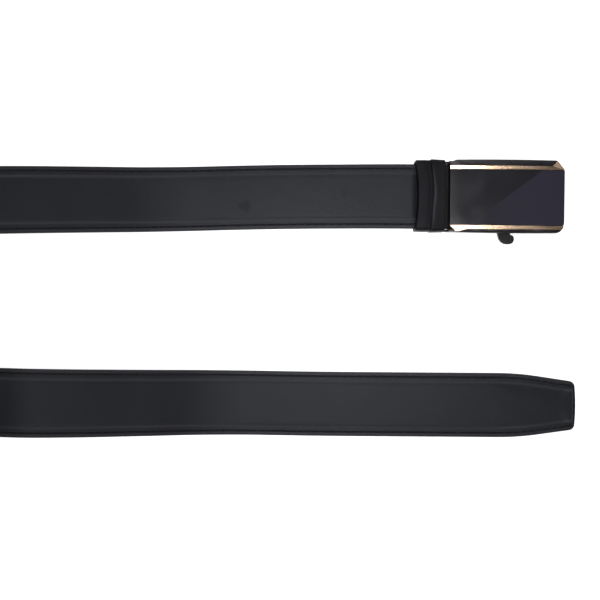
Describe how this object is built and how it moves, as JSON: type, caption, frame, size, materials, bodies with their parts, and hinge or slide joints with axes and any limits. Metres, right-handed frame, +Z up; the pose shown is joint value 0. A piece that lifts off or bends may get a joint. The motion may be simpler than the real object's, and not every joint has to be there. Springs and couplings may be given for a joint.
{
  "type": "faux leather belt with automatic buckle",
  "caption": "Long padded strap lying in a flat U with both ends up, with a ratchet buckle, a keeper loop, a release lever and a tapered tip.",
  "frame": {"origin": "bottom centre of the belt's box, on the surface that it lies on", "axes": "+X along the two legs towards the buckle and the tip, +Y across towards the buckle leg, +Z up out of the strap's outer face where it lies flat"},
  "size_m": [0.5786, 0.1506, 0.0444],
  "materials": {
    "strap_leather": "black faux leather, semi-matt, fine grain",
    "track_plastic": "black moulded nylon",
    "black_metal": "black plated, satin gloss",
    "gloss_face": "black, high gloss",
    "rose_gold": "polished rose gold plating",
    "pin_steel": "drawn"
  },
  "bodies": {
    "root": {"strap": "strap_leather", "ratchet_track": "track_plastic", "keeper_loop": "strap_leather", "clamp": "black_metal", "hinge_pin": "pin_steel"},
    "buckle": {"buckle_frame": "black_metal", "face_panel": "gloss_face", "trim_upper": "rose_gold", "trim_lower": "rose_gold", "lever_pin": "pin_steel"},
    "lever": {"release_lever": "black_metal"}
  },
  "joints": [
    {"name": "buckle_hinge", "type": "hinge", "parent": "root", "child": "buckle", "pos_m": [0.22045, 0.05561, 0.003], "axis": [-0.0105, -0.9999, 0], "range_deg": [0, 17]},
    {"name": "lever_pivot", "type": "hinge", "parent": "buckle", "child": "lever", "pos_m": [0.23954, 0.05541, 0.003], "axis": [0.0105, 0.9999, 0], "range_deg": [0, 10], "stiffness_Nm_per_rad": 0.02, "springref_deg": -20.05}
  ]
}
